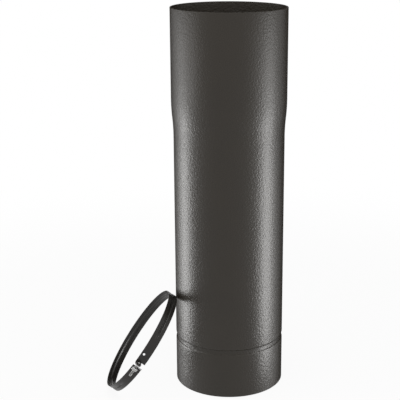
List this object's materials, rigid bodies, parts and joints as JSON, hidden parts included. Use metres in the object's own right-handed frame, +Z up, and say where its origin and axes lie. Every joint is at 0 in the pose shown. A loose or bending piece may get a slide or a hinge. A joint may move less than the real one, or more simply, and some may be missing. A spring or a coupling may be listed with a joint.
{
  "type": "stove pipe",
  "caption": "Straight steel stove pipe with a swaged socket and a rolled groove near its plain end; its locking band, slack on a screw and nut, leans beside it.",
  "frame": {"origin": "on the pipe's axis, in the plane of its lower end", "axes": "+Z up along the pipe's axis, from the plain end to the socket; +Y away from the picture's camera; the band leans on the -X side"},
  "size_m": [0.2495, 0.1972, 0.523],
  "materials": {
    "pipe_paint": "fine-textured semi-gloss anthracite stove enamel",
    "band_paint": "smoother satin anthracite stove enamel",
    "zinc_steel": "bright zinc-plated steel"
  },
  "bodies": {
    "pipe_and_band": {"pipe": "pipe_paint", "locking_band": "band_paint"},
    "clamp_screw": {"clamp_screw": "zinc_steel"},
    "clamp_nut": {"clamp_nut": "zinc_steel"}
  },
  "joints": [
    {"name": "screw_turn", "type": "hinge", "parent": "pipe_and_band", "child": "clamp_screw", "pos_m": [-0.12203, -0.11533, 0.0651], "axis": [0.5787, -0.0154, 0.8154], "range_deg": [0, 4680]},
    {"name": "nut_travel", "type": "slide", "parent": "pipe_and_band", "child": "clamp_nut", "axis": [-0.5787, 0.0154, -0.8154], "range_m": [0, 0.0091]}
  ],
  "couplings": [
    {"joint": "screw_turn", "follows": "nut_travel", "rad_per_m": 8976}
  ]
}
